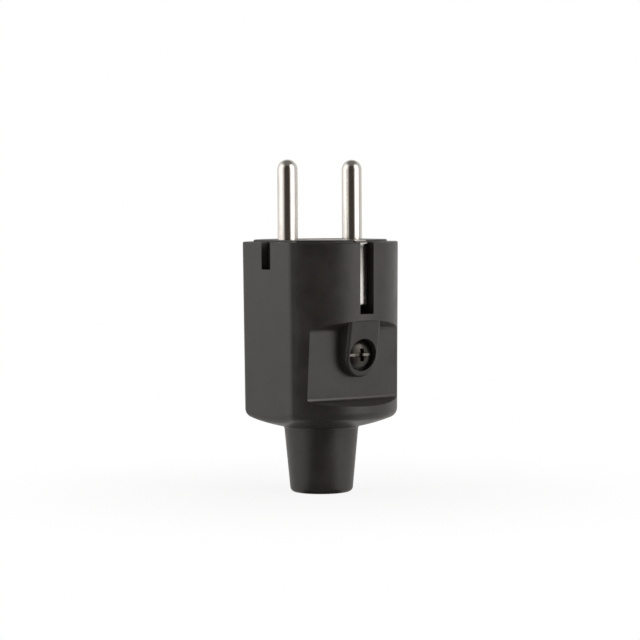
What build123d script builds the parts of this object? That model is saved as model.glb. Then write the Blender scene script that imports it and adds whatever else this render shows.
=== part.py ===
from build123d import *
import os

# Rewirable earthed mains plug with two round pins, standing on its cable neck with the pins up.
# X runs from pin to pin, -Y is the side with the housing screw, and Z runs along the cable.
# The origin is the centre of the neck's end. All sizes are in millimetres.

# Engagement with the socket: the sizes that the plug and socket standard fixes
pin_pitch = 19.0
pin_radius = 2.4
pin_reach = 19.0
face_z = 60.4

# Housing, outside
rim_z = face_z - 0.5
rim_radius = 18.53
base_radius = 18.18
rim_flat = 15.95
base_flat = 15.6
base_z = 18.63
base_rounding = 2.2
flat_edge_rounding = 2.0
rim_bevel = 0.2
neck_end_radius = 7.42
neck_top_radius = 8.9
neck_top_z = 15.8
neck_end_rounding = 1.2
neck_root_rounding = 0.9
dome_mid = (13.2, 16.82)
outside = 24.0

# Housing, inside
wall = 2.5
seat_z = 45.25
chamber_x = 13.0
chamber_y = 9.7
chamber_corner = 3.0
chamber_floor_z = 18.6
chamber_floor_bevel = 2.0
cable_radius = 4.7
cable_lead_in = 0.5

# Finger pockets in the two round sides, with draughted walls: (distance from the axis, height)
pocket_floor_top = (13.75, 39.6)
pocket_floor_bottom = (13.15, 22.8)
pocket_lip_top = (17.6, 41.3)
pocket_lip_bottom = (17.6, 21.7)
pocket_corner = 0.9
pocket_floor_curve = 140.0
pocket_sweep = 12.0

# Screw boss standing in the front pocket, and its sloping face
screw_z = 33.5
boss_root_y = 11.0
boss_root_radius = 4.85
boss_draft = 3.0
boss_end_z = screw_z - 0.6
boss_edge_rounding = 0.8
boss_top_z = 44.0
boss_face_high = (18.2, 43.2)
boss_face_low = (16.6, screw_z)
screw_well_radius = 3.85
screw_seat_y = 14.0
screw_hole_radius = 2.0

# Earth slots in the round sides and guide notches in the flats
slot_width = 3.9
slot_bottom_z = 43.15
slot_floor_y = 13.2
notch_width = 3.6
notch_depth = 2.0
notch_bottom_z = 53.5

# Contact carrier, which closes the mouth of the housing
carrier_gap = 0.1
carrier_radius = rim_radius - wall - carrier_gap
carrier_flat = rim_flat - wall - carrier_gap
carrier_corner = 0.8
carrier_edge_bevel = 0.2
pin_bore_radius = 2.45
pin_bore_bevel = 0.3
collar_bore_radius = 3.4

# Pins: exposed shaft, relieved stretch in the carrier, collar and terminal barrel
relief_radius = 2.2
relief_top_z = face_z
collar_radius = 3.3
collar_high_z = seat_z + 2.2
barrel_radius = 3.0
barrel_bottom_z = 35.5
barrel_bevel = 0.4
wire_hole_radius = 1.6
wire_hole_depth = 6.2
terminal_z = 39.3

# Earth strip, folded over the carrier's face and down its two sides
strip_width = 3.3
strip_leg_width = 2.9
strip_thickness = 0.6
strip_half_span = 16.4
strip_leg_y = 16.25
strip_joggle = (58.9, 58.3)
strip_foot = 2.7
strip_bend = 1.0
strip_play = 0.03

# Earth post, riveted flush through the strip
post_barrel_radius = 3.0
post_stem_radius = 1.4
post_neck_radius = 0.9
post_rivet_radius = 1.3

# Pin bridge: plate under the pins' collars, a leg for the housing screw and a cable cradle
plate_bottom_z = 42.9
plate_x = 12.8
plate_y = 9.45
plate_corner = 2.8
bridge_hole_radius = 3.1
leg_x = 5.5
leg_inner_y = 5.7
cradle_low_z = 21.6
cradle_high_z = 27.4
cradle_x = 12.2
cradle_back_y = 1.5
cable_grip_radius = 4.4
grip_rib_height = 0.6
grip_rib_root = 0.6
grip_rib_width = 1.0
grip_rib_pitch = 2.6
leg_rib_width = 1.4
leg_rib_reach = 2.6
nut_flats = 6.0
nut_thickness = 2.7

# Screws
housing_screw_radius = 1.75
housing_screw_tip_y = 5.9
housing_head_radius = 3.5
housing_head_height = 2.4
housing_head_bevel = 0.5
terminal_screw_radius = 1.5
terminal_screw_tip_y = 1.3
terminal_head_gap = 0.7
small_head_radius = 2.35
small_head_height = 1.7
drive_slot_width = 0.8
bridge_screw_place = (4.6, 6.3)
bridge_screw_radius = 1.45
bridge_screw_top_z = 53.0
clamp_screw_x = 8.6
clamp_screw_radius = 1.45
clamp_screw_clearance = 1.6
clamp_screw_tip_y = -6.0
clamp_bar_thickness = 2.4


def flatted_round(radius, flat, corner):
    """Plan of a round body whose two X sides are cut flat, with rounded corners."""
    with BuildSketch() as plan:
        Circle(radius)
        Rectangle(2 * flat, 2 * radius, mode=Mode.INTERSECT)
        fillet(plan.vertices(), corner)
    return plan.sketch


def is_circle(edge, radius):
    """Whether an edge is a circle of this radius."""
    return edge.geom_type == GeomType.CIRCLE and abs(edge.radius - radius) < 0.01


def along(start, end, reach):
    """Point on the line from start through end whose distance from the axis is reach."""
    share = (reach - start[0]) / (end[0] - start[0])
    return (reach, start[1] + share * (end[1] - start[1]))


def strip_outline(inset):
    """Region inside the folded earth strip's outer surface, moved in by inset, in the YZ plane."""
    with BuildSketch() as region:
        with BuildLine():
            Polyline(
                (0, face_z - inset),
                (strip_half_span - inset, face_z - inset),
                (strip_half_span - inset, strip_joggle[0]),
                (strip_leg_y - inset, strip_joggle[1]),
                (strip_leg_y - inset, strip_low_z + inset),
                (0, strip_low_z + inset),
                close=True,
            )
        make_face()
        corners = region.vertices().group_by(Axis.Y)
        bends = (corners[0].sort_by(Axis.X)[-1], corners[-1].sort_by(Axis.X)[-1])
        fillet(bends, strip_bend - inset)
        mirror(about=Plane.YZ)
    return region.sketch


def write(part, name):
    """Names a solid and writes it to its own STEP file."""
    part.label = name
    export_step(part, f"parts/{name}.step")


os.makedirs("parts", exist_ok=True)
cradle_mid_z = (cradle_low_z + cradle_high_z) / 2
flat_slope = (rim_flat - base_flat) / (rim_z - base_z)
strip_low_z = seat_z - strip_play - strip_thickness
strip_floor_z = face_z - strip_thickness - strip_play
boss_slope = (boss_face_high[0] - boss_face_low[0]) / (boss_face_high[1] - boss_face_low[1])
cavity_plan = flatted_round(rim_radius - wall, rim_flat - wall, carrier_corner)
carrier_plan = flatted_round(carrier_radius, carrier_flat, carrier_corner)
pin_places = [(-pin_pitch / 2, 0), (pin_pitch / 2, 0)]

# Outer form of the housing: turned body, dome and neck, with two flats
with BuildPart() as blank:
    with BuildSketch(Plane.XZ) as outline:
        with BuildLine():
            Line((0, 0), (neck_end_radius, 0))
            Line((neck_end_radius, 0), (neck_top_radius, neck_top_z))
            ThreePointArc((neck_top_radius, neck_top_z), dome_mid, (base_radius, base_z))
            Line((base_radius, base_z), (rim_radius, rim_z))
            Line((rim_radius, rim_z), (0, rim_z))
            Line((0, rim_z), (0, 0))
        make_face()
        for place, rounding in (
            ((neck_end_radius, 0), neck_end_rounding),
            ((neck_top_radius, neck_top_z), neck_root_rounding),
            ((base_radius, base_z), base_rounding),
        ):
            fillet(outline.vertices().sort_by_distance((place[0], place[1]))[0], rounding)
    revolve(axis=Axis.Z)
    with BuildSketch(Plane.XZ):
        with BuildLine():
            Polyline(
                (rim_flat, rim_z),
                (rim_flat - flat_slope * rim_z, 0),
                (outside, 0),
                (outside, rim_z),
                close=True,
            )
        make_face()
        mirror(about=Plane.YZ)
    extrude(amount=outside, both=True, mode=Mode.SUBTRACT)
    upright = blank.edges().filter_by(lambda e: e.bounding_box().size.Z > 30)
    fillet(upright, flat_edge_rounding)

# Screw boss: a tongue with a round end, a sloping face and a rounded edge
with BuildPart() as boss:
    with BuildSketch(Plane.XZ.offset(boss_root_y)):
        with Locations((0, boss_end_z)):
            Circle(boss_root_radius)
        with Locations((0, (boss_end_z + boss_top_z) / 2)):
            Rectangle(2 * boss_root_radius, boss_top_z - boss_end_z)
    extrude(amount=outside - boss_root_y, taper=boss_draft)
    with BuildSketch(Plane.YZ):
        with BuildLine():
            Polyline(
                (-boss_face_low[0] - boss_slope * (rim_z - screw_z), rim_z),
                (-boss_face_low[0] + boss_slope * screw_z, 0),
                (-2 * outside, 0),
                (-2 * outside, rim_z),
                close=True,
            )
        make_face()
    extrude(amount=outside, both=True, mode=Mode.SUBTRACT)
    boss_face = boss.faces().sort_by(Axis.Y)[0]
    fillet(boss_face.edges().sort_by(Axis.Z)[:-1], boss_edge_rounding)

# Finger pocket: a draughted cutter swept about a far axis, so that the floor is slightly domed
with BuildPart() as pocket:
    with BuildSketch(Plane.YZ) as pocket_section:
        with BuildLine():
            Polyline(
                pocket_floor_top,
                along(pocket_floor_top, pocket_lip_top, outside),
                along(pocket_floor_bottom, pocket_lip_bottom, outside),
                pocket_floor_bottom,
                close=True,
            )
        make_face()
        floor_groups = pocket_section.vertices().group_by(Axis.X)
        fillet(floor_groups[0] + floor_groups[1], pocket_corner)
    sweep_axis = Axis((0, pocket_floor_top[0] - pocket_floor_curve, 0), (0, 0, 1))
    revolve(axis=sweep_axis, revolution_arc=2 * pocket_sweep)
back_pocket = pocket.part.rotate(sweep_axis, -pocket_sweep)

# Front pocket: the same cutter less the boss, which is left standing in it
with BuildPart() as front_pocket:
    add(back_pocket.rotate(Axis.Z, 180))
    add(boss.part, mode=Mode.SUBTRACT)

# Housing: the blank with its pockets, chamber, slots and notches
with BuildPart() as housing:
    add(blank.part)
    add(back_pocket, mode=Mode.SUBTRACT)
    add(front_pocket.part, mode=Mode.SUBTRACT)
    chamfer(housing.edges().filter_by(Plane.XY).group_by(Axis.Z)[-1], rim_bevel)
    with BuildSketch(Plane.XY.offset(rim_z)):
        add(cavity_plan)
    extrude(amount=seat_z - rim_z, mode=Mode.SUBTRACT)
    with BuildSketch(Plane.XY.offset(seat_z)):
        RectangleRounded(2 * chamber_x, 2 * chamber_y, chamber_corner)
    extrude(amount=chamber_floor_z - seat_z, mode=Mode.SUBTRACT)
    floor_edges = housing.faces().filter_by(Plane.XY).filter_by_position(
        Axis.Z, chamber_floor_z - 0.01, chamber_floor_z + 0.01
    )[0].outer_wire().edges()
    chamfer(floor_edges, chamber_floor_bevel)
    with BuildSketch(Plane.XY):
        Circle(cable_radius)
    extrude(amount=chamber_floor_z + 1, mode=Mode.SUBTRACT)
    mouth = housing.edges().filter_by(GeomType.CIRCLE).filter_by_position(Axis.Z, -0.01, 0.01)
    chamfer(mouth.sort_by(SortBy.RADIUS)[0], cable_lead_in)
    with BuildSketch(Plane.XZ.offset(screw_seat_y)):
        with Locations((0, screw_z)):
            Circle(screw_well_radius)
    extrude(amount=outside - screw_seat_y, mode=Mode.SUBTRACT)
    with BuildSketch(Plane.XZ.offset(chamber_y - 1)):
        with Locations((0, screw_z)):
            Circle(screw_hole_radius)
    extrude(amount=screw_seat_y - chamber_y + 1, mode=Mode.SUBTRACT)
    with BuildSketch(Plane.XY.offset(slot_bottom_z)):
        with Locations((0, (outside + slot_floor_y) / 2), (0, -(outside + slot_floor_y) / 2)):
            Rectangle(slot_width, outside - slot_floor_y)
    extrude(amount=rim_z - slot_bottom_z, mode=Mode.SUBTRACT)
    with BuildSketch(Plane.XY.offset(notch_bottom_z)):
        with Locations((rim_flat, 0), (-rim_flat, 0)):
            Rectangle(2 * notch_depth, notch_width)
    extrude(amount=rim_z - notch_bottom_z, mode=Mode.SUBTRACT)
write(housing.part, "housing")

# Contact carrier: insulating disc with stepped pin bores and a channel for the earth strip
with BuildPart() as carrier:
    with BuildSketch(Plane.XY.offset(seat_z)):
        add(carrier_plan)
    extrude(amount=face_z - seat_z)
    chamfer(carrier.faces().sort_by(Axis.Z)[-1].outer_wire().edges(), carrier_edge_bevel)
    with BuildSketch(Plane.XY.offset(seat_z)):
        with Locations(*pin_places):
            Circle(collar_bore_radius)
        Circle(post_barrel_radius + strip_play)
    extrude(amount=collar_high_z - seat_z, mode=Mode.SUBTRACT)
    with BuildSketch(Plane.XY.offset(seat_z)):
        with Locations(*pin_places):
            Circle(pin_bore_radius)
        Circle(post_stem_radius)
    extrude(amount=face_z - seat_z, mode=Mode.SUBTRACT)
    pin_mouths = carrier.edges().filter_by(lambda e: is_circle(e, pin_bore_radius))
    chamfer(pin_mouths.group_by(Axis.Z)[-1], pin_bore_bevel)
    with BuildSketch(Plane.XY.offset(seat_z)):
        with Locations(bridge_screw_place, (-bridge_screw_place[0], bridge_screw_place[1])):
            Circle(bridge_screw_radius)
    extrude(amount=bridge_screw_top_z - seat_z, mode=Mode.SUBTRACT)
    with BuildSketch(Plane.YZ):
        with Locations((0, (seat_z + face_z) / 2)):
            Rectangle(2 * outside, face_z - seat_z)
        add(strip_outline(strip_thickness + strip_play), mode=Mode.SUBTRACT)
    extrude(amount=slot_width / 2, both=True, mode=Mode.SUBTRACT)
write(carrier.part, "contact_carrier")

# Earth strip: one folded band with a joggle in each leg, a foot under each side and a rivet hole
with BuildPart() as strip:
    with BuildSketch(Plane.YZ):
        add(strip_outline(0))
        add(strip_outline(strip_thickness), mode=Mode.SUBTRACT)
        with Locations((0, strip_low_z)):
            Rectangle(2 * (strip_leg_y - strip_foot), 3 * strip_thickness, mode=Mode.SUBTRACT)
    extrude(amount=strip_width / 2, both=True)
    leg_mid_z = (strip_low_z + strip_joggle[1]) / 2
    with BuildSketch(Plane.XZ):
        with Locations((0, leg_mid_z)):
            Rectangle(strip_width, strip_joggle[1] - strip_low_z)
            Rectangle(strip_leg_width, strip_joggle[1] - strip_low_z, mode=Mode.SUBTRACT)
    extrude(amount=outside, both=True, mode=Mode.SUBTRACT)
    with Locations((0, 0, face_z)):
        CounterSinkHole(post_neck_radius, post_rivet_radius, depth=strip_thickness)
write(strip.part, "earth_strip")

# Pins: turned from one bar, with the round tip, the collar and the drilled terminal barrel
for name, side in (("line", -1), ("neutral", 1)):
    with BuildPart() as pin:
        with BuildSketch(Plane.XZ):
            with BuildLine():
                tip_z = face_z + pin_reach
                Line((0, barrel_bottom_z), (barrel_radius - barrel_bevel, barrel_bottom_z))
                Polyline(
                    (barrel_radius - barrel_bevel, barrel_bottom_z),
                    (barrel_radius, barrel_bottom_z + barrel_bevel),
                    (barrel_radius, seat_z),
                    (collar_radius, seat_z),
                    (collar_radius, collar_high_z),
                    (relief_radius, collar_high_z),
                    (relief_radius, relief_top_z),
                    (pin_radius, relief_top_z),
                    (pin_radius, tip_z - pin_radius),
                )
                RadiusArc((pin_radius, tip_z - pin_radius), (0, tip_z), -pin_radius)
                Line((0, tip_z), (0, barrel_bottom_z))
            make_face()
        revolve(axis=Axis.Z)
        with BuildSketch(Plane.XY.offset(barrel_bottom_z)):
            Circle(wire_hole_radius)
        extrude(amount=wire_hole_depth, mode=Mode.SUBTRACT)
        with BuildSketch(Plane.XZ):
            with Locations((0, terminal_z)):
                Circle(terminal_screw_radius)
        extrude(amount=-outside, mode=Mode.SUBTRACT)
    write(pin.part.moved(Location((side * pin_pitch / 2, 0, 0))), f"{name}_pin")

# Earth post: drilled terminal barrel, stem through the carrier and rivet head flush in the strip
with BuildPart() as post:
    with BuildSketch(Plane.XZ):
        with BuildLine():
            Polyline(
                (0, barrel_bottom_z),
                (post_barrel_radius - barrel_bevel, barrel_bottom_z),
                (post_barrel_radius, barrel_bottom_z + barrel_bevel),
                (post_barrel_radius, collar_high_z),
                (post_stem_radius, collar_high_z),
                (post_stem_radius, strip_floor_z),
                (post_neck_radius, strip_floor_z),
                (post_neck_radius, face_z - (post_rivet_radius - post_neck_radius)),
                (post_rivet_radius, face_z),
                (0, face_z),
                close=True,
            )
        make_face()
    revolve(axis=Axis.Z)
    with BuildSketch(Plane.XY.offset(barrel_bottom_z)):
        Circle(wire_hole_radius)
    extrude(amount=wire_hole_depth, mode=Mode.SUBTRACT)
    with BuildSketch(Plane.XZ):
        with Locations((0, terminal_z)):
            Circle(terminal_screw_radius)
    extrude(amount=-outside, mode=Mode.SUBTRACT)
write(post.part, "earth_post")


def cheese_screw(shank_radius, length, head_radius, head_height):
    """Slotted screw along Z: the head's underside at z = 0 and the shank below it."""
    with BuildPart() as screw:
        with BuildSketch(Plane.XY.offset(-length)):
            Circle(shank_radius)
        extrude(amount=length)
        with BuildSketch(Plane.XY):
            Circle(head_radius)
        extrude(amount=head_height)
        chamfer(screw.faces().sort_by(Axis.Z)[-1].edges(), head_height / 4)
        chamfer(screw.faces().sort_by(Axis.Z)[0].edges(), shank_radius / 5)
        with BuildSketch(Plane.XY.offset(head_height)):
            Rectangle(3 * head_radius, drive_slot_width)
        extrude(amount=-head_height / 2, mode=Mode.SUBTRACT)
    return screw.part


# Terminal screws, reached from the back of the assembly
terminal_head_y = barrel_radius + terminal_head_gap
terminal_screw = cheese_screw(
    terminal_screw_radius, terminal_head_y - terminal_screw_tip_y, small_head_radius, small_head_height
)
terminals = (("line", -pin_pitch / 2), ("earth", 0), ("neutral", pin_pitch / 2))
for name, x in terminals:
    seat = Location((x, terminal_head_y, terminal_z), (-90, 0, 0))
    write(terminal_screw.moved(seat), f"{name}_terminal_screw")

# Pin bridge: plate that carries the pins' collars, a leg behind the boss, and the cable cradle
with BuildPart() as bridge:
    with BuildSketch(Plane.XY.offset(plate_bottom_z)):
        RectangleRounded(2 * plate_x, 2 * plate_y, plate_corner)
    extrude(amount=seat_z - plate_bottom_z)
    with BuildSketch(Plane.XY.offset(plate_bottom_z)):
        with Locations((0, -(plate_y + leg_inner_y) / 2)):
            Rectangle(2 * leg_x, plate_y - leg_inner_y)
        with Locations((leg_rib_width / 2 - leg_x, -leg_inner_y), (leg_x - leg_rib_width / 2, -leg_inner_y)):
            Rectangle(leg_rib_width, 2 * leg_rib_reach)
    extrude(amount=cradle_low_z - plate_bottom_z)
    with BuildSketch(Plane.XY.offset(cradle_low_z)):
        with Locations((0, (cradle_back_y - plate_y) / 2)):
            RectangleRounded(2 * cradle_x, plate_y + cradle_back_y, plate_corner / 2)
    extrude(amount=cradle_high_z - cradle_low_z)
    with BuildSketch(Plane.XY.offset(cradle_low_z)):
        Circle(cable_grip_radius)
        with Locations((0, cable_grip_radius)):
            Rectangle(2 * cable_grip_radius, 2 * cable_grip_radius)
    extrude(amount=plate_bottom_z - cradle_low_z, mode=Mode.SUBTRACT)
    rib_plane = Plane.XY.offset(cradle_mid_z)
    for step in (-0.5, 0.5):
        with BuildSketch(rib_plane.offset(step * grip_rib_pitch - grip_rib_width / 2)):
            Circle(cable_grip_radius + grip_rib_root)
            Circle(cable_grip_radius - grip_rib_height, mode=Mode.SUBTRACT)
            with Locations((0, outside / 2)):
                Rectangle(outside, outside, mode=Mode.SUBTRACT)
        extrude(amount=grip_rib_width)
    with BuildSketch(Plane.XY.offset(plate_bottom_z)):
        with Locations(*pin_places):
            Circle(bridge_hole_radius)
        Circle(post_barrel_radius + strip_play)
        with Locations(bridge_screw_place, (-bridge_screw_place[0], bridge_screw_place[1])):
            Circle(clamp_screw_clearance)
    extrude(amount=seat_z - plate_bottom_z, mode=Mode.SUBTRACT)
    with BuildSketch(Plane.XZ.offset(leg_inner_y)):
        with Locations((0, screw_z)):
            RegularPolygon(nut_flats / 2, 6, major_radius=False)
    extrude(amount=nut_thickness, mode=Mode.SUBTRACT)
    with BuildSketch(Plane.XZ.offset(leg_inner_y)):
        with Locations((0, screw_z)):
            Circle(screw_hole_radius)
    extrude(amount=plate_y - leg_inner_y, mode=Mode.SUBTRACT)
    with BuildSketch(Plane.XZ.offset(-cradle_back_y)):
        with Locations((-clamp_screw_x, cradle_mid_z), (clamp_screw_x, cradle_mid_z)):
            Circle(clamp_screw_radius)
    extrude(amount=cradle_back_y - clamp_screw_tip_y, mode=Mode.SUBTRACT)
write(bridge.part, "pin_bridge")

# Screws that pull the bridge up against the carrier
bridge_screw = cheese_screw(
    bridge_screw_radius, bridge_screw_top_z - plate_bottom_z - 0.5, small_head_radius, small_head_height
)
for number, side in enumerate((-1, 1), start=1):
    seat = Location((side * bridge_screw_place[0], bridge_screw_place[1], plate_bottom_z), (180, 0, 0))
    write(bridge_screw.moved(seat), f"bridge_screw_{number}")

# Nut, captive in the leg
with BuildPart() as nut:
    with BuildSketch(Plane.XZ.offset(leg_inner_y)):
        with Locations((0, screw_z)):
            RegularPolygon(nut_flats / 2, 6, major_radius=False)
            Circle(housing_screw_radius, mode=Mode.SUBTRACT)
    extrude(amount=nut_thickness)
write(nut.part, "housing_nut")

# Housing screw: domed head with a slot and a cross recess
with BuildPart() as housing_screw:
    with BuildSketch(Plane.XZ.offset(housing_screw_tip_y)):
        with Locations((0, screw_z)):
            Circle(housing_screw_radius)
    extrude(amount=screw_seat_y - housing_screw_tip_y)
    with BuildSketch(Plane.XZ.offset(screw_seat_y)):
        with Locations((0, screw_z)):
            Circle(housing_head_radius)
    extrude(amount=housing_head_height)
    chamfer(housing_screw.faces().sort_by(Axis.Y)[0].edges(), housing_head_bevel)
    with BuildSketch(Plane.XZ.offset(screw_seat_y + housing_head_height)):
        with Locations((0, screw_z)):
            Rectangle(3 * housing_head_radius, drive_slot_width)
    extrude(amount=-housing_head_height / 2, mode=Mode.SUBTRACT)
    with BuildSketch(Plane.XZ.offset(screw_seat_y + housing_head_height)):
        with Locations((0, screw_z)):
            Rectangle(drive_slot_width, housing_head_radius)
            Rectangle(housing_head_radius, drive_slot_width)
    extrude(amount=-housing_head_height * 0.8, taper=8, mode=Mode.SUBTRACT)
write(housing_screw.part, "housing_screw")

# Cable clamp bar: two feet on the pillars and an arch over the cable
with BuildPart() as bar:
    with BuildSketch(Plane.XY.offset(cradle_low_z)):
        with Locations((0, cradle_back_y + clamp_bar_thickness / 2)):
            Rectangle(2 * cradle_x, clamp_bar_thickness)
        Circle(cable_grip_radius + clamp_bar_thickness)
        Circle(cable_grip_radius, mode=Mode.SUBTRACT)
        with Locations((0, cradle_back_y - outside / 2)):
            Rectangle(2 * outside, outside, mode=Mode.SUBTRACT)
    extrude(amount=cradle_high_z - cradle_low_z)
    with BuildSketch(Plane.XZ.offset(-cradle_back_y)):
        with Locations((-clamp_screw_x, cradle_mid_z), (clamp_screw_x, cradle_mid_z)):
            Circle(clamp_screw_clearance)
    extrude(amount=-clamp_bar_thickness, mode=Mode.SUBTRACT)
write(bar.part, "cable_clamp")

# Clamp screws
clamp_head_y = cradle_back_y + clamp_bar_thickness
clamp_screw = cheese_screw(
    clamp_screw_radius, clamp_head_y - clamp_screw_tip_y, small_head_radius, small_head_height
)
for number, side in enumerate((-1, 1), start=1):
    seat = Location((side * clamp_screw_x, clamp_head_y, cradle_mid_z), (-90, 0, 0))
    write(clamp_screw.moved(seat), f"clamp_screw_{number}")
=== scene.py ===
"""Looks, light and camera for an earthed mains plug that stands on its cable neck with its pins up."""
import logging
import math
from dataclasses import dataclass
from enum import Enum

import bmesh
import bpy
import numpy as np
from mathutils import Matrix, Vector


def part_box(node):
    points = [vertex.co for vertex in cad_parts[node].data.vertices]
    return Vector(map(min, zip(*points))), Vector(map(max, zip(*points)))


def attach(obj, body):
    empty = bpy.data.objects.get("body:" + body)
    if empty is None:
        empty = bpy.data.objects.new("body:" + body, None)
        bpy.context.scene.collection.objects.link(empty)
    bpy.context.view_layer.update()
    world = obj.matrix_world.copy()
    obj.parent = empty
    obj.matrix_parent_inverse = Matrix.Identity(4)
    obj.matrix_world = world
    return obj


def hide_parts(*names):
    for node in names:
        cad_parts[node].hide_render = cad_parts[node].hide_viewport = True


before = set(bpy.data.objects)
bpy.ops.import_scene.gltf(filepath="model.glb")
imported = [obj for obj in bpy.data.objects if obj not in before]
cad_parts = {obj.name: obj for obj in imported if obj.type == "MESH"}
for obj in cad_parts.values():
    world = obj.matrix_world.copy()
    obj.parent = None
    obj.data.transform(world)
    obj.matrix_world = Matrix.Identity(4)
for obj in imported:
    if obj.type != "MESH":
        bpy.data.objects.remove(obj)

MM = 0.001
log = logging.getLogger("plug")
Colour = tuple[float, float, float]
Span = tuple[float, float]
Stretch = tuple[float, float, float]


class Graph:
    """Short way to place and join shader nodes in one node tree."""

    def __init__(self, tree: bpy.types.NodeTree) -> None:
        """Takes over a node tree and empties it.

        Args:
            tree: the tree of a material, a world or a node group.
        """
        self.tree = tree
        tree.nodes.clear()

    def add(self, kind: str, **settings: object) -> bpy.types.Node:
        """Places a node.

        Args:
            kind: the node's type without its "ShaderNode" prefix.
            settings: properties of the node, by name.

        Returns:
            The new node.
        """
        prefix = "" if kind.startswith("NodeGroup") else "ShaderNode"
        node = self.tree.nodes.new(prefix + kind)
        for name, value in settings.items():
            setattr(node, name, value)
        return node

    def join(self, source: bpy.types.NodeSocket, target: bpy.types.NodeSocket) -> None:
        """Links an output to an input."""
        self.tree.links.new(source, target)

    def maths(self, operation: str, first: object, second: object = 0.0) -> bpy.types.NodeSocket:
        """Places a Math node whose inputs are sockets or numbers.

        Args:
            operation: the Math node's operation.
            first: the first input, a socket or a number.
            second: the second input, a socket or a number.

        Returns:
            The node's output.
        """
        node = self.add("Math", operation=operation)
        for socket, value in zip(node.inputs, (first, second)):
            if isinstance(value, bpy.types.NodeSocket):
                self.join(value, socket)
            else:
                socket.default_value = value
        return node.outputs[0]

    def blend(self, share: bpy.types.NodeSocket, low: object, high: object) -> bpy.types.NodeSocket:
        """Mixes two colours by a mask.

        Args:
            share: the mask, where 0 gives the first colour and 1 the second.
            low: a colour or a socket.
            high: a colour or a socket.

        Returns:
            The mixed colour.
        """
        node = self.add("Mix", data_type="RGBA")
        self.join(share, node.inputs["Factor"])
        for socket, value in ((node.inputs[6], low), (node.inputs[7], high)):
            if isinstance(value, bpy.types.NodeSocket):
                self.join(value, socket)
            else:
                socket.default_value = (*value, 1.0)
        return node.outputs[2]

    def ramp(self, value: bpy.types.NodeSocket, low: float, high: float,
             out_low: float = 0.0, out_high: float = 1.0) -> bpy.types.NodeSocket:
        """Maps a range of values smoothly to another.

        Args:
            value: the value that is read.
            low: the value that gives out_low.
            high: the value that gives out_high.
            out_low: the result at the low end.
            out_high: the result at the high end.

        Returns:
            The mapped value.
        """
        node = self.add("MapRange", interpolation_type="SMOOTHSTEP")
        self.join(value, node.inputs[0])
        for socket, number in zip(node.inputs[1:5], (low, high, out_low, out_high)):
            socket.default_value = number
        return node.outputs[0]

    def noise(self, place: bpy.types.NodeSocket, size: float, detail: float = 2.0,
              stretch: Stretch = (1.0, 1.0, 1.0)) -> bpy.types.NodeSocket:
        """Places a noise pattern on Object coordinates.

        Args:
            place: the coordinates, in metres.
            size: the width of the pattern's grains, in millimetres.
            detail: the number of finer layers.
            stretch: how many times longer the grains are along X, Y and Z.

        Returns:
            The pattern's value, about 0.3 to 0.7.
        """
        mapping = self.add("Mapping")
        mapping.inputs["Scale"].default_value = tuple(1.0 / (size * MM * s) for s in stretch)
        self.join(place, mapping.inputs["Vector"])
        pattern = self.add("TexNoise")
        pattern.inputs["Scale"].default_value = 1.0
        pattern.inputs["Detail"].default_value = detail
        self.join(mapping.outputs[0], pattern.inputs["Vector"])
        return pattern.outputs["Fac"]

    def dot(self, vector: bpy.types.NodeSocket, axis: Vector) -> bpy.types.NodeSocket:
        """Measures a vector along a fixed direction.

        Args:
            vector: the vector that is measured.
            axis: the direction.

        Returns:
            The length along it.
        """
        node = self.add("VectorMath", operation="DOT_PRODUCT")
        self.join(vector, node.inputs[0])
        node.inputs[1].default_value = axis
        return node.outputs["Value"]


class Effect(Enum):
    """The surface effects that several finishes share, each one node group."""

    MOULD_GRAIN = "mould grain"
    DRAWN_MARKS = "drawn marks"
    HANDLING = "handling"


def _group(effect: Effect, inputs: tuple[tuple[str, float], ...], outputs: tuple[str, ...]) -> Graph:
    """Makes an empty node group with float sockets.

    Args:
        effect: the effect that the group holds.
        inputs: name and default value of each input.
        outputs: name of each output.

    Returns:
        The group's graph.
    """
    tree = bpy.data.node_groups.new(effect.value, "ShaderNodeTree")
    for name, value in inputs:
        tree.interface.new_socket(name, in_out="INPUT", socket_type="NodeSocketFloat").default_value = value
    for name in outputs:
        tree.interface.new_socket(name, in_out="OUTPUT", socket_type="NodeSocketFloat")
    return Graph(tree)


def mould_grain_group() -> bpy.types.NodeTree:
    """Builds the spark-eroded grain of a moulded face: pits of one size on a faint longer swell.

    Returns:
        The node group, which puts out a height and a mottle mask.
    """
    graph = _group(Effect.MOULD_GRAIN, (("Swell", 0.4),), ("Height", "Mottle"))
    entry, exit_ = graph.add("NodeGroupInput"), graph.add("NodeGroupOutput")
    place = graph.add("TexCoord").outputs["Object"]
    pits = graph.noise(place, size=0.16, detail=3.0)
    fine = graph.noise(place, size=0.07, detail=1.0)
    swell = graph.noise(place, size=1.9, detail=2.0)
    pit_share = 0.75
    deep = graph.maths("MULTIPLY", pits, pit_share)
    rough = graph.maths("ADD", deep, graph.maths("MULTIPLY", fine, 1.0 - pit_share))
    height = graph.maths("ADD", rough, graph.maths("MULTIPLY", swell, entry.outputs["Swell"]))
    graph.join(height, exit_.inputs["Height"])
    clouds = graph.noise(place, size=5.5, detail=4.0)
    cloud_share = 0.6
    broad = graph.maths("MULTIPLY", clouds, cloud_share)
    mottle = graph.maths("ADD", broad, graph.maths("MULTIPLY", pits, 1.0 - cloud_share))
    graph.join(graph.ramp(mottle, low=0.36, high=0.64), exit_.inputs["Mottle"])
    return graph.tree


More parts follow.
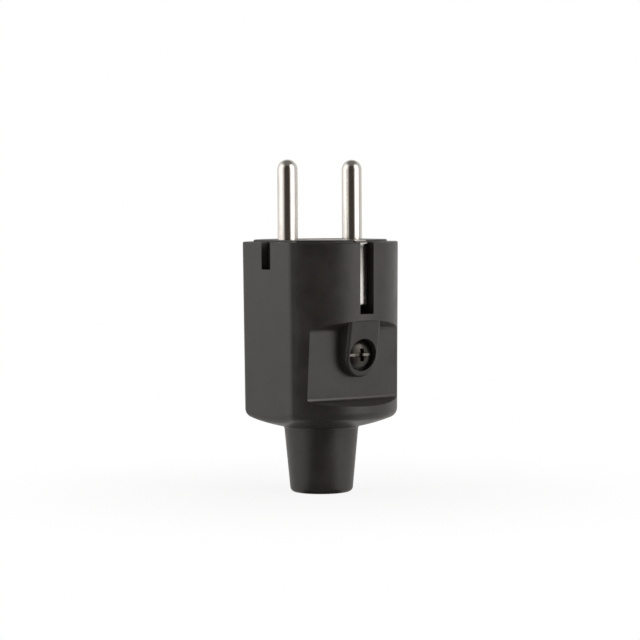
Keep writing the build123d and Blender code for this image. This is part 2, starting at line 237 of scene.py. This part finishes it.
def drawn_marks_group() -> bpy.types.NodeTree:
    """Builds the marks of drawn, plated metal: fine lines along Z, turning rings and a faint orange peel.

    Returns:
        The node group, which puts out a height and a dullness mask.
    """
    graph = _group(Effect.DRAWN_MARKS, (("Rings", 0.3),), ("Height", "Dull"))
    entry, exit_ = graph.add("NodeGroupInput"), graph.add("NodeGroupOutput")
    place = graph.add("TexCoord").outputs["Object"]
    lines = graph.noise(place, size=0.09, detail=2.0, stretch=(1.0, 1.0, 60.0))
    rings = graph.noise(place, size=0.12, detail=1.0, stretch=(60.0, 60.0, 1.0))
    peel = graph.noise(place, size=0.6, detail=2.0)
    height = graph.maths("ADD", lines, graph.maths("MULTIPLY", rings, entry.outputs["Rings"]))
    graph.join(graph.maths("ADD", height, peel), exit_.inputs["Height"])
    cloud = graph.noise(place, size=2.6, detail=3.0, stretch=(1.0, 1.0, 2.2))
    graph.join(graph.ramp(cloud, low=0.42, high=0.68), exit_.inputs["Dull"])
    return graph.tree


def handling_group() -> bpy.types.NodeTree:
    """Builds the traces of handling: sparse rubbed patches and hairline scuffs in two directions.

    Returns:
        The node group, which puts out a rub mask and a scuff mask.
    """
    graph = _group(Effect.HANDLING, (("Amount", 0.5),), ("Rub", "Scuff"))
    entry, exit_ = graph.add("NodeGroupInput"), graph.add("NodeGroupOutput")
    place = graph.add("TexCoord").outputs["Object"]
    patches = graph.ramp(graph.noise(place, size=8.0, detail=4.0), low=0.5, high=0.72)
    graph.join(graph.maths("MULTIPLY", patches, entry.outputs["Amount"]), exit_.inputs["Rub"])
    upright = graph.noise(place, size=0.12, detail=1.0, stretch=(1.0, 1.0, 22.0))
    steep = graph.ramp(upright, low=0.69, high=0.74)
    crosswise = graph.noise(place, size=0.12, detail=1.0, stretch=(16.0, 16.0, 1.0))
    level = graph.ramp(crosswise, low=0.70, high=0.75)
    both = graph.maths("MAXIMUM", steep, level)
    graph.join(graph.maths("MULTIPLY", both, entry.outputs["Amount"]), exit_.inputs["Scuff"])
    return graph.tree


class EffectShelf:
    """Builds each shared effect once and places it where a finish asks for it."""

    def __init__(self) -> None:
        """Builds the node groups."""
        self.groups = {
            Effect.MOULD_GRAIN: mould_grain_group(),
            Effect.DRAWN_MARKS: drawn_marks_group(),
            Effect.HANDLING: handling_group(),
        }

    def place(self, graph: Graph, effect: Effect, value: float) -> bpy.types.Node:
        """Places an effect in a material.

        Args:
            graph: the material's graph.
            effect: the effect.
            value: the value of the effect's one input.

        Returns:
            The group node.
        """
        node = graph.add("Group", node_tree=self.groups[effect])
        node.inputs[0].default_value = value
        return node


@dataclass(frozen=True)
class MouldedPlastic:
    """Dark moulded plastic with an eroded grain, mottled gloss and light scuffs.

    The gloss values are roughnesses, and grain_height is in millimetres.
    """

    name: str
    deep: Colour
    dusty: Colour
    gloss_low: float
    gloss_high: float
    grain_height: float
    swell: float
    wear: float
    refraction: float = 1.5
    shine: float = 0.66
    grain_strength: float = 0.55
    scuff_light: float = 2.2
    rub_gloss: float = 0.12

    def build(self, shelf: EffectShelf) -> bpy.types.Material:
        """Builds the material.

        Args:
            shelf: the shared effects.

        Returns:
            The material.
        """
        material = bpy.data.materials.new(self.name)
        material.use_nodes = True
        graph = Graph(material.node_tree)
        shader = graph.add("BsdfPrincipled")
        shader.inputs["IOR"].default_value = self.refraction
        shader.inputs["Specular IOR Level"].default_value = self.shine
        grain = shelf.place(graph, Effect.MOULD_GRAIN, self.swell)
        handling = shelf.place(graph, Effect.HANDLING, self.wear)
        mottled = graph.blend(grain.outputs["Mottle"], self.deep, self.dusty)
        scuff_colour = tuple(min(1.0, self.scuff_light * part) for part in self.dusty)
        scuffed = graph.blend(handling.outputs["Scuff"], mottled, scuff_colour)
        graph.join(scuffed, shader.inputs["Base Color"])
        gloss = graph.ramp(grain.outputs["Mottle"], 0.0, 1.0, self.gloss_low, self.gloss_high)
        polish = graph.maths("MULTIPLY", handling.outputs["Rub"], self.rub_gloss)
        rubbed = graph.maths("SUBTRACT", gloss, polish)
        graph.join(rubbed, shader.inputs["Roughness"])
        bump = graph.add("Bump")
        bump.inputs["Strength"].default_value = self.grain_strength
        bump.inputs["Distance"].default_value = self.grain_height * MM
        graph.join(grain.outputs["Height"], bump.inputs["Height"])
        graph.join(bump.outputs[0], shader.inputs["Normal"])
        graph.join(shader.outputs[0], graph.add("OutputMaterial").inputs["Surface"])
        return material


@dataclass(frozen=True)
class PlatedMetal:
    """Plated metal with drawing marks and patches of duller plating, and a painted shade towards its upper
    end where one is given.

    The gloss values are roughnesses, and mark_height and the two spans of heights are in millimetres.
    """

    name: str
    bright: Colour
    dull: Colour
    gloss_low: float
    gloss_high: float
    mark_height: float
    rings: float
    wear: float
    painted_shade: Colour | None = None
    painted_shade_span: Span = (0.0, 0.0)
    unshaded_span: Span = (0.0, 0.0)
    mark_strength: float = 0.35
    scuff_dulling: float = 0.2

    def _plating(self, graph: Graph, dull: bpy.types.NodeSocket) -> bpy.types.NodeSocket:
        """Makes the plating's colour.

        Args:
            graph: the material's graph.
            dull: the mask of duller plating.

        Returns:
            The colour, which darkens to the painted shade between the two heights of painted_shade_span
            and comes back to the plating's own between those of unshaded_span.
        """
        plating = graph.blend(dull, self.bright, self.dull)
        if self.painted_shade is None:
            return plating
        # Painted shade: the plating darkens with height towards its upper end, and its own colour comes back
        # over a thin band at the very top.
        place = graph.add("SeparateXYZ")
        graph.join(graph.add("TexCoord").outputs["Object"], place.inputs[0])
        painted_shade_low, painted_shade_high = (height * MM for height in self.painted_shade_span)
        shade_share = graph.ramp(place.outputs["Z"], painted_shade_low, painted_shade_high)
        unshaded_low, unshaded_high = (height * MM for height in self.unshaded_span)
        shade_kept = graph.ramp(place.outputs["Z"], unshaded_low, unshaded_high, out_low=1.0, out_high=0.0)
        return graph.blend(graph.maths("MULTIPLY", shade_share, shade_kept), plating, self.painted_shade)

    def build(self, shelf: EffectShelf) -> bpy.types.Material:
        """Builds the material.

        Args:
            shelf: the shared effects.

        Returns:
            The material.
        """
        material = bpy.data.materials.new(self.name)
        material.use_nodes = True
        graph = Graph(material.node_tree)
        shader = graph.add("BsdfPrincipled")
        shader.inputs["Metallic"].default_value = 1.0
        marks = shelf.place(graph, Effect.DRAWN_MARKS, self.rings)
        handling = shelf.place(graph, Effect.HANDLING, self.wear)
        graph.join(self._plating(graph, marks.outputs["Dull"]), shader.inputs["Base Color"])
        gloss = graph.ramp(marks.outputs["Dull"], 0.0, 1.0, self.gloss_low, self.gloss_high)
        scratches = graph.maths("MULTIPLY", handling.outputs["Scuff"], self.scuff_dulling)
        scuffed = graph.maths("ADD", gloss, scratches)
        graph.join(scuffed, shader.inputs["Roughness"])
        bump = graph.add("Bump")
        bump.inputs["Strength"].default_value = self.mark_strength
        bump.inputs["Distance"].default_value = self.mark_height * MM
        graph.join(marks.outputs["Height"], bump.inputs["Height"])
        graph.join(bump.outputs[0], shader.inputs["Normal"])
        graph.join(shader.outputs[0], graph.add("OutputMaterial").inputs["Surface"])
        return material


class Finish(Enum):
    """The finishes of the plug's pieces."""

    HOUSING = MouldedPlastic(
        name="housing_plastic", deep=(0.0185, 0.0163, 0.0152), dusty=(0.0285, 0.0254, 0.0237),
        gloss_low=0.33, gloss_high=0.41, grain_height=0.035, swell=0.5, wear=0.35,
    )
    CARRIER = MouldedPlastic(
        name="carrier_plastic", deep=(0.022, 0.021, 0.020), dusty=(0.034, 0.032, 0.030),
        gloss_low=0.36, gloss_high=0.48, grain_height=0.02, swell=0.8, wear=0.3,
    )
    NICKEL = PlatedMetal(
        name="nickel_plate", bright=(0.80, 0.785, 0.75), dull=(0.73, 0.715, 0.675),
        gloss_low=0.11, gloss_high=0.17, mark_height=0.004, rings=0.4, wear=0.5,
    )
    # The strip's finish carries a painted shade that darkens it towards the contact face, while its top at
    # the face keeps the plating's own colour.
    STRIP_NICKEL = PlatedMetal(
        name="nickel_strip", bright=(0.66, 0.65, 0.62), dull=(0.60, 0.59, 0.56),
        gloss_low=0.16, gloss_high=0.23, mark_height=0.006, rings=0.2, wear=0.5,
        painted_shade=(0.24, 0.235, 0.222), painted_shade_span=(46.0, 61.0), unshaded_span=(60.02, 60.2),
    )
    # Brighter steel for the ends of the screw's slot floor: driver wear, and a painted highlight.
    RUBBED_HIGHLIT_STEEL = PlatedMetal(
        name="rubbed_highlit_steel", bright=(0.19, 0.182, 0.168), dull=(0.14, 0.133, 0.122),
        gloss_low=0.22, gloss_high=0.32, mark_height=0.006, rings=0.2, wear=0.8,
    )
    SCREW_STEEL = PlatedMetal(
        name="zinc_plated_steel", bright=(0.082, 0.077, 0.069), dull=(0.048, 0.044, 0.038),
        gloss_low=0.28, gloss_high=0.40, mark_height=0.012, rings=0.8, wear=0.8,
    )


def grid_mesh(name: str, points: np.ndarray, closed: bool) -> bpy.types.Mesh:
    """Makes a mesh of quads from a grid of points.

    Args:
        name: the mesh's name.
        points: array of rows by columns by 3, in metres.
        closed: whether the last column joins the first.

    Returns:
        The mesh, whose pole rows still hold one point per column.
    """
    rows, columns = points.shape[:2]
    spans = columns if closed else columns - 1
    row, column = np.meshgrid(np.arange(rows - 1), np.arange(spans), indexing="ij")
    after = (column + 1) % columns
    here, above = row * columns, (row + 1) * columns
    quads = np.stack([here + column, here + after, above + after, above + column], axis=-1).reshape(-1, 4)
    mesh = bpy.data.meshes.new(name)
    mesh.from_pydata(points.reshape(-1, 3).tolist(), [], quads.tolist())
    mesh.validate()
    return mesh


def turned(profile: np.ndarray, centre: tuple[float, float], segments: int) -> np.ndarray:
    """Turns a profile about a line parallel to Z.

    A point at radius r and height z goes to centre + r (cos a, sin a) at height z, for each angle a.

    Args:
        profile: array of radius and height, in millimetres.
        centre: X and Y of the line, in millimetres.
        segments: the number of angles.

    Returns:
        Grid of points, in metres.
    """
    angle = np.linspace(0.0, 2.0 * np.pi, segments, endpoint=False)
    radius, height = profile[:, 0:1], profile[:, 1:2]
    x = centre[0] + radius * np.cos(angle)
    y = centre[1] + radius * np.sin(angle)
    return np.stack([x, y, np.broadcast_to(height, x.shape)], axis=-1) * MM


class Workshop:
    """Makes finished objects of meshes and CAD nodes. Its two reaches are in metres."""

    doubled_reach = 1e-7
    weld_reach = 1e-6
    face_weight = 80

    def __init__(self) -> None:
        """Builds the finishes."""
        shelf = EffectShelf()
        self.materials = {finish: finish.value.build(shelf) for finish in Finish}

    def piece(self, mesh: bpy.types.Mesh, finish: Finish, sharp: float) -> bpy.types.Object:
        """Makes an object that rides on the plug.

        Args:
            mesh: the piece's mesh.
            finish: its finish.
            sharp: the angle in degrees over which an edge stays hard.

        Returns:
            The object.
        """
        thing = bpy.data.objects.new(mesh.name, mesh)
        bpy.context.scene.collection.objects.link(thing)
        mesh.materials.append(self.materials[finish])
        self._close(mesh)
        mesh.shade_smooth()
        mesh.set_sharp_from_angle(angle=math.radians(sharp))
        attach(thing, "root")
        log.info("made %s with %d faces", thing.name, len(mesh.polygons))
        return thing

    @staticmethod
    def _close(mesh: bpy.types.Mesh) -> None:
        """Merges doubled points and turns the faces outwards."""
        work = bmesh.new()
        work.from_mesh(mesh)
        bmesh.ops.remove_doubles(work, verts=work.verts, dist=Workshop.doubled_reach)
        bmesh.ops.recalc_face_normals(work, faces=work.faces)
        work.to_mesh(mesh)
        work.free()

    def dress(self, node: str, finish: Finish, sharp: float = 28.0) -> None:
        """Gives a CAD node its finish and smooth shading.

        Args:
            node: the node's name.
            finish: its finish.
            sharp: the angle in degrees over which an edge stays hard.
        """
        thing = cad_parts[node]
        thing.data.materials.clear()
        thing.data.materials.append(self.materials[finish])
        thing.data.shade_smooth()
        weld = thing.modifiers.new("weld", "WELD")
        weld.merge_threshold = self.weld_reach
        split = thing.modifiers.new("hard edges", "EDGE_SPLIT")
        split.split_angle = math.radians(sharp)
        even = thing.modifiers.new("even normals", "WEIGHTED_NORMAL")
        even.weight = self.face_weight
        log.info("dressed %s", node)


@dataclass
class ContactPin:
    """One turned contact pin with a round tip, a relieved stretch, a collar and a drilled terminal barrel.

    All sizes are in millimetres.
    """

    node: str
    radius: float = 2.4
    relief: float = 2.2
    collar: float = 3.3
    collar_height: float = 2.2
    barrel: float = 3.0
    bevel: float = 0.4
    wire_hole: float = 1.6
    wire_depth: float = 6.2
    segments: int = 160
    tip_rings: int = 26
    shaft_rings: int = 14

    def build(self, shop: Workshop) -> None:
        """Builds the pin and puts it in its CAD node's place.

        The tip is a quarter circle of the pin's radius, turned about the pin's axis.

        Args:
            shop: the workshop.
        """
        low, high = (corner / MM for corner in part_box(self.node))
        centre = ((low.x + high.x) / 2, (low.y + high.y) / 2)
        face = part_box("contact_carrier")[1].z / MM
        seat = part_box("contact_carrier")[0].z / MM
        sweep = np.linspace(0.0, np.pi / 2, self.tip_rings)
        tip_low = high.z - self.radius
        tip = np.stack([self.radius * np.cos(sweep), tip_low + self.radius * np.sin(sweep)], axis=-1)
        shaft_height = np.linspace(face, tip_low, self.shaft_rings)
        shaft = np.stack([np.full(self.shaft_rings, self.radius), shaft_height], axis=-1)
        lower = np.array([
            (0.0, low.z + self.wire_depth),
            (self.wire_hole, low.z + self.wire_depth),
            (self.wire_hole, low.z),
            (self.barrel - self.bevel, low.z),
            (self.barrel, low.z + self.bevel),
            (self.barrel, seat),
            (self.collar, seat),
            (self.collar, seat + self.collar_height),
            (self.relief, seat + self.collar_height),
            (self.relief, face),
        ])
        profile = np.concatenate([lower, shaft, tip[1:]])
        mesh = grid_mesh(self.node + "_turned", turned(profile, centre, self.segments), closed=True)
        piece = shop.piece(mesh, Finish.NICKEL, sharp=35.0)
        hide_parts(self.node)


@dataclass
class HousingScrew:
    """The screw in the boss: a domed head with a slot crossed by a cross recess.

    All sizes are in millimetres.
    """

    node: str = "housing_screw"
    head_radius: float = 3.5
    head_height: float = 2.4
    shank_radius: float = 1.75
    rim_height: float = 1.25
    rim_rounding: float = 0.25
    dome_power: float = 2.5
    slot_half: float = 0.30
    slot_floor: float = 1.2
    cross_half: float = 0.42
    cross_reach: float = 1.5
    cross_depth: float = 1.8
    cross_slope: float = 0.8
    recess_wall: float = 0.12
    rub_highlight_start: float = 1.2
    rub_highlight_margin: float = 0.04
    rub_highlight_depth: float = 0.05
    rings: int = 90
    rim_rings: int = 7
    segments: int = 256

    def _recess(self, x: np.ndarray, y: np.ndarray, dome: np.ndarray) -> np.ndarray:
        """Returns how deep the drive is cut at each point of the head.

        The slot is a trough across the head with a flat floor. The cross is two shorter, deeper troughs
        whose ends slope up, and the deepest of the cuts holds. The walls rise over recess_wall.

        Args:
            x: distance along the slot, in millimetres.
            y: distance across it.
            dome: the uncut head's height there.

        Returns:
            The depth, in millimetres.
        """
        def trough(across: np.ndarray, half: float) -> np.ndarray:
            """Returns 1 inside a trough and 0 outside, with a smooth wall."""
            share = np.clip((half + self.recess_wall - np.abs(across)) / self.recess_wall, 0.0, 1.0)
            return share * share * (3.0 - 2.0 * share)

        def arm(along: np.ndarray, across: np.ndarray) -> np.ndarray:
            """Returns the depth of one pair of the cross's arms."""
            fall = np.clip((self.cross_reach - np.abs(along)) / self.cross_slope, 0.0, 1.0)
            return self.cross_depth * trough(across, self.cross_half) * fall

        slot = (dome - self.slot_floor) * trough(y, self.slot_half)
        return np.maximum(slot, np.maximum(arm(x, y), arm(y, x)))

    def _rub_and_highlight(self, piece: bpy.types.Object, shop: Workshop, seat_y: float, centre_z: float) -> None:
        """Gives the ends of the slot's floor brighter metal: wear where a driver has rubbed, and a painted
        highlight of the light that the slot's floor catches.

        Args:
            piece: the screw.
            shop: the workshop.
            seat_y: Y of the head's underside, in millimetres.
            centre_z: Z of the screw's axis, in millimetres.
        """
        mesh = piece.data
        mesh.materials.append(shop.materials[Finish.RUBBED_HIGHLIT_STEEL])
        centres = np.empty(3 * len(mesh.polygons))
        mesh.polygons.foreach_get("center", centres)
        x, y, z = centres.reshape(-1, 3).T / MM
        height = seat_y - y
        # The slot floor's faces away from the cross get the brighter steel: driver wear and a painted
        # highlight.
        in_slot = (np.abs(z - centre_z) < self.slot_half + self.rub_highlight_margin) & (np.abs(x) > self.rub_highlight_start)
        rubbed = in_slot & (np.abs(height - self.slot_floor) < self.rub_highlight_depth)
        mesh.polygons.foreach_set("material_index", rubbed.astype(np.int32))

    def build(self, shop: Workshop) -> None:
        """Builds the screw and puts it in its CAD node's place.

        The head is a disc grid of radius and angle, as high as a dome less the drive's recess: the dome
        falls with a power of the radius, and its rim is a quarter circle.

        Args:
            shop: the workshop.
        """
        low, high = (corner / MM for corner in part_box(self.node))
        centre_z = (low.z + high.z) / 2
        angle = np.linspace(0.0, 2.0 * np.pi, self.segments, endpoint=False)[None, :]
        radius = np.linspace(0.0, self.head_radius - self.rim_rounding, self.rings)[:, None]
        x, y = radius * np.cos(angle), radius * np.sin(angle)
        fall = (radius / self.head_radius) ** self.dome_power
        dome = self.head_height - (self.head_height - self.rim_height) * fall
        top = np.stack([x, y, dome - self._recess(x, y, dome)], axis=-1)
        turn = np.linspace(0.0, np.pi / 2, self.rim_rings + 1)[1:]
        edge = top[-1, :, 2]
        skirt_radius = self.head_radius - self.rim_rounding + self.rim_rounding * np.sin(turn)
        skirt_drop = self.rim_rounding * (1.0 - np.cos(turn))
        rim = np.stack([
            skirt_radius[:, None] * np.cos(angle),
            skirt_radius[:, None] * np.sin(angle),
            edge[None, :] - skirt_drop[:, None],
        ], axis=-1)
        foot_radius = np.array([self.head_radius, self.shank_radius, self.shank_radius, 0.0])
        shank = (high.y - low.y) - self.head_height
        foot_height = np.array([0.0, 0.0, -shank, -shank])
        foot = np.stack([
            foot_radius[:, None] * np.cos(angle),
            foot_radius[:, None] * np.sin(angle),
            np.broadcast_to(foot_height[:, None], (foot_height.size, self.segments)),
        ], axis=-1)
        local = np.concatenate([top, rim, foot])
        seat_y = low.y + self.head_height
        points = np.stack([local[..., 0], seat_y - local[..., 2], centre_z + local[..., 1]], axis=-1) * MM
        mesh = grid_mesh("housing_screw_driven", points, closed=True)
        piece = shop.piece(mesh, Finish.SCREW_STEEL, sharp=50.0)
        self._rub_and_highlight(piece, shop, seat_y, centre_z)
        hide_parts(self.node)


@dataclass
class Shell:
    """The moulded housing and the contact carrier in its mouth."""

    def build(self, shop: Workshop) -> None:
        """Dresses the moulded nodes.

        Args:
            shop: the workshop.
        """
        shop.dress("housing", Finish.HOUSING)
        for node in ("contact_carrier", "pin_bridge", "cable_clamp"):
            shop.dress(node, Finish.CARRIER)


@dataclass
class Fastenings:
    """The metal pieces that keep their CAD form."""

    def build(self, shop: Workshop) -> None:
        """Dresses the metal nodes.

        Args:
            shop: the workshop.
        """
        for node in ("earth_strip", "earth_post"):
            shop.dress(node, Finish.STRIP_NICKEL)
        steel = ["housing_nut", "line_terminal_screw", "neutral_terminal_screw", "earth_terminal_screw"]
        steel += [f"{kind}_screw_{number}" for kind in ("bridge", "clamp") for number in (1, 2)]
        for node in steel:
            shop.dress(node, Finish.SCREW_STEEL)


def heading(azimuth: float) -> Vector:
    """Returns the level direction from the object at an azimuth in degrees, where 0 is towards -Y."""
    turn = math.radians(azimuth)
    return Vector((math.sin(turn), -math.cos(turn), 0.0))


@dataclass
class PhotoCamera:
    """The photograph's camera: a long lens a little above the contact face, tipped slightly down.

    Angles are in degrees, places in metres, and the lens and its sensor in millimetres.
    """

    azimuth: float = -36.3
    distance: float = 0.600
    height: float = 0.0710
    aim_height: float = 0.0411
    lens: float = 141.25
    sensor: float = 36.0
    clip: Span = (0.01, 20.0)
    roll: float = -0.33
    yaw: float = 0.016

    def build(self) -> None:
        """Creates the camera and makes it the scene's own."""
        data = bpy.data.cameras.new("photo_camera")
        data.lens = self.lens
        data.sensor_width = self.sensor
        data.clip_start, data.clip_end = self.clip
        camera = bpy.data.objects.new("photo_camera", data)
        bpy.context.scene.collection.objects.link(camera)
        place = heading(self.azimuth) * self.distance + Vector((0.0, 0.0, self.height))
        aim = Vector((0.0, 0.0, self.aim_height)) - place
        turn = aim.to_track_quat("-Z", "Y").to_matrix()
        turn = Matrix.Rotation(math.radians(self.yaw), 3, "Z") @ turn
        turn = turn @ Matrix.Rotation(math.radians(self.roll), 3, "Z")
        camera.matrix_world = Matrix.Translation(place) @ turn.to_4x4()
        bpy.context.scene.camera = camera
        log.info("placed the camera")


# Brightness of the white tent round the plug, by angle in degrees from the camera to its right.
# The camera stands in a dark gap, and the tent's side cloths are the brightest part.
TENT = (
    (-180.0, 0.72), (-150.0, 0.65), (-122.0, 0.95), (-107.0, 1.20), (-90.0, 1.45), (-72.0, 1.50),
    (-55.0, 1.00), (-42.0, 0.48), (-34.0, 0.13), (-27.0, 0.06), (0.0, 0.045), (23.0, 0.06),
    (30.0, 0.45), (42.0, 1.75), (55.0, 2.95), (70.0, 3.05), (80.0, 1.65), (88.0, 0.74),
    (98.0, 0.60), (118.0, 0.68), (150.0, 0.72), (180.0, 0.72),
)
TENT_PEAK = max(level for _, level in TENT)


@dataclass
class Studio:
    """A warm white tent with a dark brown gap where the camera stands, and a pale table under the plug.

    The floor's half width and the reach of its shade are in metres.
    """

    cloth_colour: Colour = (1.0, 0.962, 0.930)
    gap_colour: Colour = (1.0, 0.80, 0.66)
    gap_level: float = 0.2
    roof_rise: Span = (0.55, 0.92)
    roof_level: float = 0.06
    table_colour: Colour = (0.86, 0.86, 0.86)
    # Painted shade of the floor on the camera's side, seen only in the plug's reflections.
    table_front_shade: Colour = (0.12, 0.115, 0.11)
    front_spread: Span = (0.6, 0.9)
    table_glow: float = 0.35
    floor_half: float = 1.6
    shade_reach: float = 0.10
    shade_white: float = 0.88

    def _tent(self, graph: Graph) -> bpy.types.NodeSocket:
        """Makes the tent's colour in each direction, as a share of its brightest cloth.

        Args:
            graph: the world's graph.

        Returns:
            The colour.
        """
        direction = graph.add("TexCoord").outputs["Generated"]
        ahead = graph.dot(direction, heading(PhotoCamera.azimuth))
        right = graph.dot(direction, heading(PhotoCamera.azimuth + 90.0))
        rise = graph.dot(direction, Vector((0.0, 0.0, 1.0)))
        angle = graph.maths("ARCTAN2", right, ahead)
        turn = graph.maths("MULTIPLY_ADD", angle, 0.5 / math.pi)
        turn.node.inputs[2].default_value = 0.5
        cloth = graph.add("ValToRGB")
        stops = cloth.color_ramp.elements
        while len(stops) < len(TENT):
            stops.new(0.5)
        for stop, (degrees, level) in zip(stops, TENT):
            stop.position = 0.5 + degrees / 360.0
            tint = self.gap_colour if level < self.gap_level else self.cloth_colour
            stop.color = (*(level / TENT_PEAK * part for part in tint), 1.0)
        graph.join(turn, cloth.inputs[0])
        dusk = tuple(self.roof_level * part for part in self.cloth_colour)
        return graph.blend(graph.ramp(rise, *self.roof_rise), cloth.outputs[0], dusk)

    def _world(self) -> None:
        """Makes a world that the camera sees as plain white and that lights the plug as the tent does."""
        world = bpy.data.worlds.new("studio")
        bpy.context.scene.world = world
        world.use_nodes = True
        graph = Graph(world.node_tree)
        path = graph.add("LightPath")
        seen = graph.maths("MAXIMUM", path.outputs["Is Camera Ray"], path.outputs["Is Transmission Ray"])
        surround = graph.add("Background")
        graph.join(graph.blend(seen, self._tent(graph), (1.0, 1.0, 1.0)), surround.inputs["Color"])
        graph.join(graph.ramp(seen, 0.0, 1.0, TENT_PEAK, 1.0), surround.inputs["Strength"])
        graph.join(surround.outputs[0], graph.add("OutputWorld").inputs["Surface"])

    def _floor(self) -> None:
        """Lays the pale floor, which keeps the plug's soft shadow and turns plain white further out.

        In the plug's reflections the floor carries a painted shade on the camera's side, below the tent's
        gap.
        """
        half = self.floor_half
        corners = np.array([(-half, -half, 0.0), (half, -half, 0.0), (half, half, 0.0), (-half, half, 0.0)])
        mesh = bpy.data.meshes.new("floor")
        mesh.from_pydata(corners.tolist(), [], [(0, 1, 2, 3)])
        floor = bpy.data.objects.new("floor", mesh)
        bpy.context.scene.collection.objects.link(floor)
        material = bpy.data.materials.new("pale_floor")
        material.use_nodes = True
        graph = Graph(material.node_tree)
        path = graph.add("LightPath")
        place = graph.add("TexCoord").outputs["Object"]
        ahead = graph.add("VectorMath", operation="NORMALIZE")
        graph.join(place, ahead.inputs[0])
        facing = graph.dot(ahead.outputs[0], heading(PhotoCamera.azimuth))
        # Painted shade: glossy rays see the floor dark on the camera's side.
        front = graph.maths("MULTIPLY", path.outputs["Is Glossy Ray"], graph.ramp(facing, *self.front_spread))
        matt = graph.add("BsdfDiffuse")
        graph.join(graph.blend(front, self.table_colour, self.table_front_shade), matt.inputs["Color"])
        white = graph.add("Emission")
        white.inputs["Color"].default_value = (1.0, 1.0, 1.0, 1.0)
        white.inputs["Strength"].default_value = 1.0
        length = graph.add("VectorMath", operation="LENGTH")
        graph.join(place, length.inputs[0])
        away = graph.ramp(length.outputs["Value"], 0.0, self.shade_reach, self.shade_white, 1.0)
        seen = graph.maths("MULTIPLY", path.outputs["Is Camera Ray"], away)
        mix = graph.add("MixShader")
        # Painted light: away from the camera's side the floor glows to all rays but the camera's, lighting
        # the plug from below and showing in its reflections.
        glow = graph.maths("MULTIPLY", graph.maths("SUBTRACT", 1.0, front), self.table_glow)
        graph.join(graph.maths("MAXIMUM", seen, glow), mix.inputs[0])
        graph.join(matt.outputs[0], mix.inputs[1])
        graph.join(white.outputs[0], mix.inputs[2])
        graph.join(mix.outputs[0], graph.add("OutputMaterial").inputs["Surface"])
        mesh.materials.append(material)

    def build(self) -> None:
        """Sets up the world and the floor."""
        bpy.context.scene.view_settings.view_transform = "Standard"
        self._world()
        self._floor()
        log.info("lit the studio")


def main() -> None:
    """Builds the plug's pieces, the studio and the camera."""
    logging.basicConfig(level=logging.INFO, format="%(name)s: %(message)s")
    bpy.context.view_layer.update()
    shop = Workshop()
    Shell().build(shop)
    for node in ("line_pin", "neutral_pin"):
        ContactPin(node).build(shop)
    HousingScrew().build(shop)
    Fastenings().build(shop)
    Studio().build()
    PhotoCamera().build()


if __name__ == "__main__":
    main()
